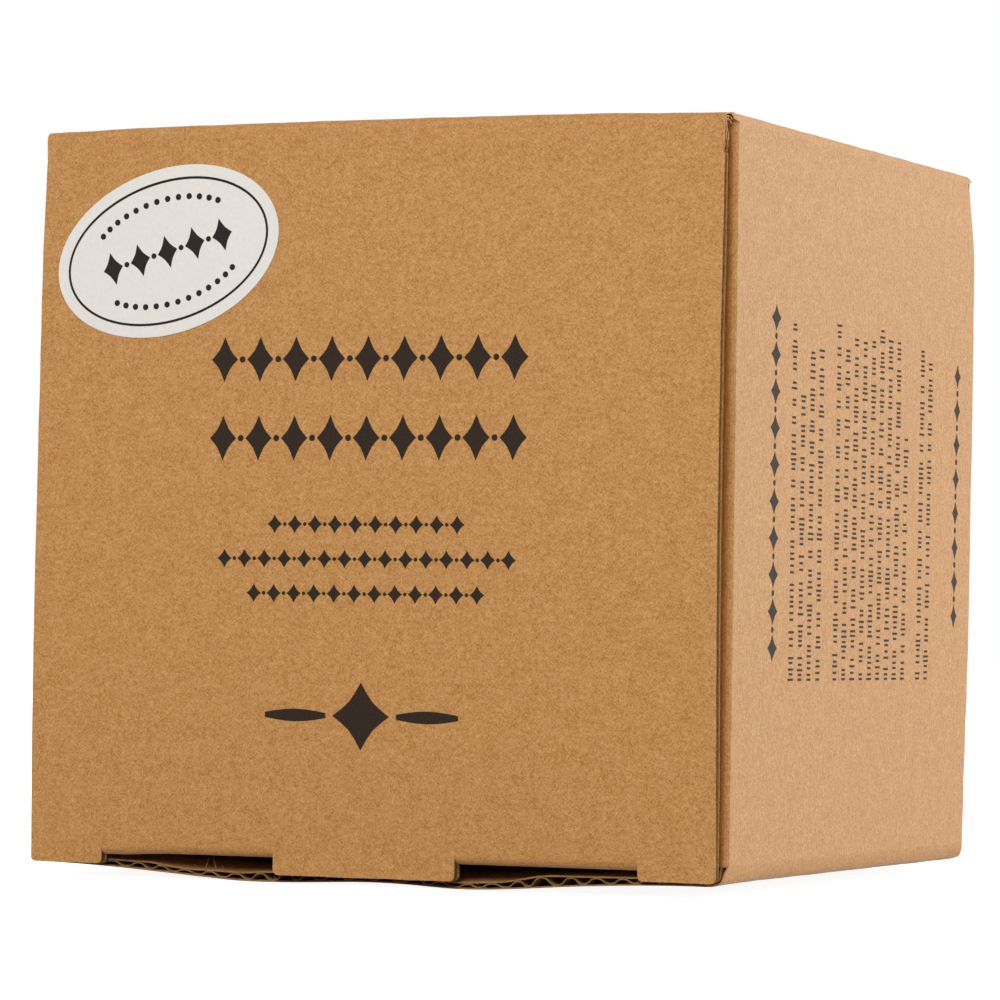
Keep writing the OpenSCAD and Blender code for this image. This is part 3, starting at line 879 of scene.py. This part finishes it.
def build_moving_folds(side):
    """Creases that a lid, a tuck flap and the dust flaps turn on."""
    prefix, half, y = PREFIX[side], LID_HALVES[side], side * HALF_D
    close_dents = dents(0.05, 0.35, 7.0 + side)

    def scored(s, place):
        """A fine ridge on the wall's side of the bend, and a dent where the scoring crushed the board."""
        ridge = 0.05 * math.exp(-((s - 0.33) / 0.07) ** 2)
        dent = 0.95 * smooth(0.36, 0.60, s) * smooth(1.0, 0.9, s)
        return ridge - dent + 0.05 * uneven(place * 0.3, s * 3.0, 2.0) * math.sin(math.pi * s)

    def dust_ends(share):
        """The dust crease fills the corner between the walls' creases, and its ends are rounded."""
        low_cut = 1.2 * smooth(0.6, 0.95, share) - 0.3 - 0.2 * smooth(0.3, 0.45, share)
        high_cut = (-2.0 if share < 0.3 else -3.3) + 4.0 * smooth(0.62, 1.0, share)
        return low_cut, high_cut

    top_edge = side * top_high[1]
    lid_fold = Fold(
        prefix + "lid_crease", (0, top_edge, BOX_H), (0, y, BOX_H), (0, y, LID_TOP_Z), FOLD_R,
        (1, 0, 0), (TAPER - half, half - 0.1), lambda p: bow_front(p, side),
        (0.0, top_edge), (0.0, side * (HALF_D + BOX_H - LID_TOP_Z)), run=(1.0, 0.0))
    piece = lid_fold.build(close_dents)
    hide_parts(prefix + "lid_crease")
    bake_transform(piece)

    tuck_edge = side * -tuck_low[1]
    strips = []
    for hand in (-1, 1):
        places = sorted((hand * NOTCH_NEAR, hand * NOTCH_FAR))
        tuck_fold = Fold(
            f"{prefix}tuck_crease_{hand}", (0, y, NOTCH_TOP_Z), (0, y, TUCK_UNDER_Z),
            (0, tuck_edge, TUCK_UNDER_Z), FOLD_R, (1, 0, 0), places, lambda p: sag_tuck(p, side),
            (0.0, side * (HALF_D + BOX_H - NOTCH_TOP_Z)), (0.0, side * (2 * HALF_D + BOX_H + tuck_low[1])),
            run=(1.0, 0.0))
        strips.append(tuck_fold.build(close_dents))
    piece = join(strips, prefix + "tuck_crease_strip")
    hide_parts(prefix + "tuck_crease")
    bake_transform(piece)

    for hand, word in HANDS:
        name = f"{prefix}{word}_dust_crease"
        wall_y = side * right_high[1]
        face_y = side * DUST_FACE_Y
        x = hand * HALF_W
        flap_x = hand * dust_high[0]
        foot = RIGHT_FOOT if hand > 0 else LEFT_FOOT
        fold = Fold(name, (x, wall_y, 0), (x, face_y, 0), (flap_x, face_y, 0), DUST_FOLD_R[side],
                    (0, 0, 1), (dust_crease_low[2], dust_crease_high[2]), bulge,
                    (foot, wall_y), (foot, side * (HALF_D + BOARD_T + DUST_NEAR)),
                    run=(-float(hand), 0.0), facet=DUST_FACET)
        piece = fold.build(scored, dust_ends)
        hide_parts(name)
        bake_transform(piece)


# Label and prints

LABEL_PLACE = (-27.3, 74.95)
LABEL_AXES = (30.4, 19.8)
LABEL_TILT = 14.8
LABEL_T = 0.1
LABEL_SUNK = 0.01
LABEL_SHEET = 200.0
INK_T = 0.02
INK_SUNK = 0.005

# Rows of lozenges: middle across and up, number, width and height of each, and the gaps
LID_BANDS = (
    (-0.2, 61.9, 9, 3.5, 5.4, 1.25),
    (-0.2, 52.5, 9, 3.5, 5.4, 1.25),
    (-0.1, 42.3, 10, 1.9, 2.2, 0.75),
    (-0.1, 38.2, 15, 1.9, 2.2, 0.75),
    (-0.1, 34.1, 12, 1.9, 2.2, 0.75),
)
LABEL_BANDS = ((0, 0, 5, 2.7, 4.0, 1.1),)
WALL_BANDS = ((47.8, -28.4, 10, 3.1, 3.0, 1.2), (48.1, 35.2, 8, 3.1, 2.3, 1.3))

# The large lozenge low on the lid and the bars beside it: middle, width and height
EMBLEM = (-0.4, 19.7, 7.4, 8.0)
EMBLEM_BARS = ((-9.0, 19.7, 8.0, 1.5), (8.2, 19.7, 8.0, 1.5))

# The label's fine ring and its thickness, and the half axes and size of its arcs of dots
RING_AXES = (27.6, 17.0)
RING_T = 0.3
DOT_ARCS = (10.8, 6.24)
DOT_SIZE = 0.75

# Blocks of fine rows on the right wall: place of the first row, and the length of each row
SIDE_ROWS = (
    (-22.3, (43.0, 34.5, 41.0, 40.0)),
    (-7.6, (43.5, 40.5, 43.0, 42.0, 42.5, 44.5, 43.0, 42.5, 31.0)),
    (21.9, (43.5, 41.5)),
)
ROW_PITCH = 2.98
ROW_START_Z = 24.6
STROKE_H = 1.7
STROKE_T = 0.28


def on_label(points):
    """Points of the label's own plane as points of the lid."""
    c, s = math.cos(math.radians(LABEL_TILT)), math.sin(math.radians(LABEL_TILT))
    return [(LABEL_PLACE[0] + c * u - s * v, LABEL_PLACE[1] + s * u + c * v) for u, v in points]


def oval(width, height, steps=120):
    """Points of an oval about the middle."""
    angles = [2 * math.pi * i / steps for i in range(steps)]
    return [(width / 2 * math.cos(a), height / 2 * math.sin(a)) for a in angles]


def build_label(lid):
    """The oval sticker on the lid."""
    outline = on_label(oval(*LABEL_AXES))
    us, vs = zip(*outline)
    uv, faces, rim = cut_flat(outline, [lines(min(w), max(w), GRID_STEP) for w in (us, vs)])
    n = [np.full(len(uv), height) for height in (LABEL_T, -LABEL_SUNK)]
    lid.add_sheet("oval_label", *uv.T, n, faces, rim, LABEL_SHEET, LABEL, "label_paper")


def lozenge(u, v, width, height):
    """A diamond with sides that curve in a little."""
    points = []
    for k in range(4):
        a, b = k * math.pi / 2, (k + 1) * math.pi / 2
        for share in (0.0, 0.25, 0.5, 0.75):
            pull = 1.0 - 0.16 * math.sin(math.pi * share)
            p = math.cos(a) * (1 - share) + math.cos(b) * share
            q = math.sin(a) * (1 - share) + math.sin(b) * share
            points.append((u + p * pull * width / 2, v + q * pull * height / 2))
    return points


def bar(u, v, width, height):
    """A stroke whose middle is a little thicker than its ends."""
    shares = [i / 6 for i in range(7)]
    upper = [(u + width * (t - 0.5), v + height * (0.2 + 0.3 * math.sin(math.pi * t))) for t in shares]
    return [(p, 2 * v - q) for p, q in upper] + upper[::-1]


def dot(u, v, size):
    """A round dot."""
    return [(u + p, v + q) for p, q in oval(size, size, 16)]


def bands(table):
    """Rows of lozenges with dots between them, each row centred at its place."""
    shapes = []
    for u, v, count, width, height, gap in table:
        step = width + gap
        first = u - step * (count - 1) / 2
        shapes += [lozenge(first + step * i, v, width, height) for i in range(count)]
        shapes += [dot(first + step * (i + 0.5), v, gap * 0.62) for i in range(count - 1)]
    return shapes


def strokes_row(rng, u0, u1, v):
    """A row of small upright strokes in groups, as fine as small print."""
    shapes, u = [], u0
    while u < u1 - 1.0:
        for _ in range(rng.choice((2, 3, 4, 5, 6, 7))):
            if u > u1 - 0.6:
                break
            half = STROKE_H * rng.choice((0.7, 0.7, 0.8, 1.0)) / 2
            shapes.append(rectangle(u, u + STROKE_T, v - half, v + half))
            u += STROKE_T * rng.choice((2.0, 2.3, 2.8))
        u += 3.0 * STROKE_T
    return shapes


def ring(outer, inner):
    """Four-sided pieces of the band between two closed lines."""
    pairs = list(zip(outer, inner))
    return [[a0, b0, b1, a1] for (a0, a1), (b0, b1) in zip(pairs, pairs[1:] + pairs[:1])]


def print_ink(board, name, shapes, material, height=0.0):
    """Thin printed shapes that follow a board's face."""
    places, faces = [], []
    for shape in shapes:
        count = len(shape)
        rim = [(i, (i + 1) % count) for i in range(count)]
        faces += shifted(thicken(count, [list(range(count))], rim), len(places))
        places += [(u, v, height + level) for level in (INK_T, -INK_SUNK) for u, v in shape]
    u, v, n = np.array(places, float).T
    piece = new_piece(name, board.place(u, v, n), faces, board.paper_at(u, v, n, OUTER_SHEET), material)
    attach(piece, board.body)


def build_prints(boards):
    """Generic ornaments where the lid, the label and the right wall are printed."""
    lid, wall = boards["lid"], boards["right_panel"]
    shapes = bands(LID_BANDS) + [lozenge(*EMBLEM)] + [bar(*place) for place in EMBLEM_BARS]
    print_ink(lid, "lid_print", shapes, KRAFT_INK)

    shapes = ring(oval(*RING_AXES), oval(*(axis - 2 * RING_T for axis in RING_AXES)))
    shapes += bands(LABEL_BANDS)
    shapes += [dot(DOT_ARCS[0] * math.sin(a), sign * DOT_ARCS[1] * math.cos(a), DOT_SIZE)
               for sign in (-1, 1) for a in np.radians(range(-48, 49, 8))]
    print_ink(lid, "label_print", [on_label(shape) for shape in shapes], LABEL_INK, LABEL_T)

    rng = random.Random(11)
    shapes = bands(WALL_BANDS)
    for first, lengths in SIDE_ROWS:
        for i, length in enumerate(lengths):
            shapes += strokes_row(rng, ROW_START_Z, ROW_START_Z + length, first + ROW_PITCH * i)
    print_ink(wall, "side_print", shapes, KRAFT_INK)


# Loose fibres along the cut edges

HAIR_R = 0.03
HAIR_RINGS = 6
HAIR_SIDES = 5

# Where the fibres lie in the paper's own coordinates, away from the sheets
FIBRE_SHIFT = (300.0, 0.0, 0.0)

# Two long fibres that hang in the left notch: place on the bottom panel, direction and length
LONG_FIBRES = ((-20.4, -1.1, (-0.45, 0.1, -0.9), 1.7), (-21.9, -1.1, (0.2, 0.4, -0.9), 1.4))


def hair(rng, start, direction, length, curl):
    """One thin curled fibre as a tube of a few sides."""
    points, faces = [], []
    heading = Vector(direction).normalized()
    bend = Vector((rng.gauss(0, 1), rng.gauss(0, 1), rng.gauss(0, 1))) * curl
    place = Vector(start)
    for k in range(HAIR_RINGS):
        side = heading.orthogonal().normalized()
        other = heading.cross(side)
        thin = HAIR_R * (1.0 - 0.7 * k / (HAIR_RINGS - 1))
        for m in range(HAIR_SIDES):
            a = 2 * math.pi * m / HAIR_SIDES
            points.append(place + (side * math.cos(a) + other * math.sin(a)) * thin)
        place = place + heading * length / (HAIR_RINGS - 1)
        heading = (heading + bend).normalized()
    for k in range(HAIR_RINGS - 1):
        for m in range(HAIR_SIDES):
            a, b = k * HAIR_SIDES + m, k * HAIR_SIDES + (m + 1) % HAIR_SIDES
            faces.append([a, b, b + HAIR_SIDES, a + HAIR_SIDES])
    last = len(points) - HAIR_SIDES
    return points, faces + [list(range(HAIR_SIDES - 1, -1, -1)), list(range(last, len(points)))]


def build_fuzz(board, name, places, rng):
    """Fibres at places of a board, each with a direction in the board's own axes and a length."""
    points, faces = [], []
    for u, v, n, across, along, out, length in places:
        start = board.place(np.array([u]), np.array([v]), np.array([n]))[0]
        direction = np.array([across, along, out]) @ board.axes
        curl = 0.4 if length < 1.2 else 0.08
        new_points, new_faces = hair(rng, start, direction, length, curl)
        faces += shifted(new_faces, len(points))
        points += [tuple(p) for p in new_points]
    piece = new_piece(name, points, faces, np.array(points) + FIBRE_SHIFT, FIBRE, "kraft_liner")
    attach(piece, board.body)


def build_fibres(boards):
    """Fibres at the lid's cut edges, at its tear and lips, and at the bottom's front edge."""
    rng = random.Random(23)
    lid, bottom = boards["lid"], boards["bottom_panel"]
    places = [(LID_HALF - 0.05, rng.uniform(3, 84), -rng.choice((0.1, 1.35)), rng.uniform(0.3, 1),
               rng.gauss(0, 1), rng.gauss(0, 0.5), rng.uniform(0.25, 0.6)) for _ in range(16)]
    places += [(LID_HALF - 0.3, NICK_Z + rise, -0.05, 0.5, 0.9, 0.4, 0.9) for rise in (-0.2, 0.1, 0.5)]
    places += [(LID_HALF - 0.1, 9.2, -0.1, 0.7, 0.7, 0.2, 1.0)]
    for lip_u in (-LID_HALF + 2, -NOTCH_FAR, -NOTCH_NEAR, NOTCH_NEAR, NOTCH_FAR, LID_HALF - 2):
        places += [(lip_u + rng.uniform(-2, 2) * 0.4, MIDDLE_LIP_Z + 0.9, -0.1, rng.gauss(0, 1), -0.6, 0.3,
                    rng.uniform(0.2, 0.5))]
    build_fuzz(lid, "lid_fuzz", places, rng)
    edge = -bottom_high[1]
    places = [(rng.uniform(-34, 34), edge + 0.05, -rng.uniform(0.1, 1.4), rng.gauss(0, 1), -0.8,
               rng.gauss(0, 0.7), rng.uniform(0.25, 0.7)) for _ in range(26)]
    places += [(u, edge + 0.3, n, *direction, length) for u, n, direction, length in LONG_FIBRES]
    build_fuzz(bottom, "bottom_fuzz", places, rng)


def join(pieces, name):
    """Several pieces as one, with the first one's material and coordinates."""
    with bpy.context.temp_override(active_object=pieces[0], selected_editable_objects=pieces):
        bpy.ops.object.join()
    pieces[0].name = name
    return pieces[0]


# Floor, light and camera


# Glow of the floor where it is seen, and strength of the light from all around where it isn't
FLOOR_GLOW = 0.91
AMBIENT = 0.2

# Height of the floor in millimetres, and half its width in metres
FLOOR_Z = -0.33
FLOOR_HALF = 6.0


def build_floor():
    """A pale floor that looks white and keeps the carton's shadow."""
    n = Nodes(bpy.data.materials.new("floor_white"))
    n.fill(n.shader, {"Base Color": (0.5, 0.5, 0.5, 1), "Roughness": 0.9, "Specular IOR Level": 0.0})
    strength = n.maths("MULTIPLY", n.seen_ray(), FLOOR_GLOW)
    glow = n.add("ShaderNodeEmission", {"Strength": strength}).outputs[0]
    both = n.add("ShaderNodeAddShader", {0: n.shader.outputs[0], 1: glow}).outputs[0]
    n.fill(n.tree.nodes["Material Output"], {"Surface": both})
    work = bmesh.new()
    bmesh.ops.create_grid(work, x_segments=8, y_segments=8, size=FLOOR_HALF)
    mesh = bpy.data.meshes.new("floor")
    work.to_mesh(mesh)
    work.free()
    mesh.materials.append(n.owner)
    floor = new_object("floor", mesh)
    floor.location.z = FLOOR_Z * MM


def build_world():
    """White where it is seen, and a dim plain light for everything else."""
    world = bpy.data.worlds.new("studio")
    bpy.context.scene.world = world
    n = Nodes(world)
    strength = n.spread(n.seen_ray(), 0.0, 1.0, AMBIENT, 1.0)
    n.fill(n.tree.nodes["Background"], {"Color": (1, 1, 1, 1), "Strength": strength})


def lamp(name, place, size, power):
    """A square softbox at a place in metres, turned to the carton's middle."""
    data = bpy.data.lights.new(name, "AREA")
    data.shape = "SQUARE"
    data.size = size
    data.energy = power
    softbox = new_object(name, data)
    softbox.location = place
    aim = Vector((0, 0, BOX_H * MM / 2)) - Vector(place)
    softbox.rotation_euler = aim.to_track_quat("-Z", "Y").to_euler()


def build_lights():
    """A soft light on each of the sides that the picture shows, and one from behind."""
    lamp("front_softbox", (0.10, -0.90, 0.56), 0.5, 7.35)
    lamp("right_softbox", (1.40, 1.15, 0.55), 1.0, 32.0)
    lamp("left_rear_softbox", (-0.95, 0.95, 0.60), 0.9, 9.0)


# The camera that the photograph was taken with, as fitted to the carton's corners and edges, in
# metres and degrees, and its focal length as a share of the picture's width
CAMERA_PLACE = (0.2525, -0.5704, 0.03057)
CAMERA_YAW = -24.1055
CAMERA_PITCH = 1.457
CAMERA_ROLL = 0.8442
FOCAL_SHARE = 4.9556


def build_camera():
    """The camera, turned first about the upright, then up, then about its own axis."""
    data = bpy.data.cameras.new("camera")
    data.sensor_width = 36.0
    data.lens = FOCAL_SHARE * data.sensor_width
    data.clip_start, data.clip_end = 0.01, 50.0
    camera = new_object("camera", data)
    turn = Matrix.Identity(4)
    for axis, angle in (("Z", -CAMERA_YAW), ("X", 90 + CAMERA_PITCH), ("Z", CAMERA_ROLL)):
        turn = turn @ Matrix.Rotation(math.radians(angle), 4, axis)
    camera.matrix_world = Matrix.Translation(CAMERA_PLACE) @ turn
    bpy.context.scene.camera = camera


noise.seed_set(7)
build_camera()
boards = build_boards()
build_tube_folds()
build_moving_folds(FRONT)
build_moving_folds(REAR)
build_label(boards["lid"])
build_prints(boards)
build_fibres(boards)
build_floor()
build_world()
build_lights()
bpy.context.scene.view_settings.view_transform = "Standard"
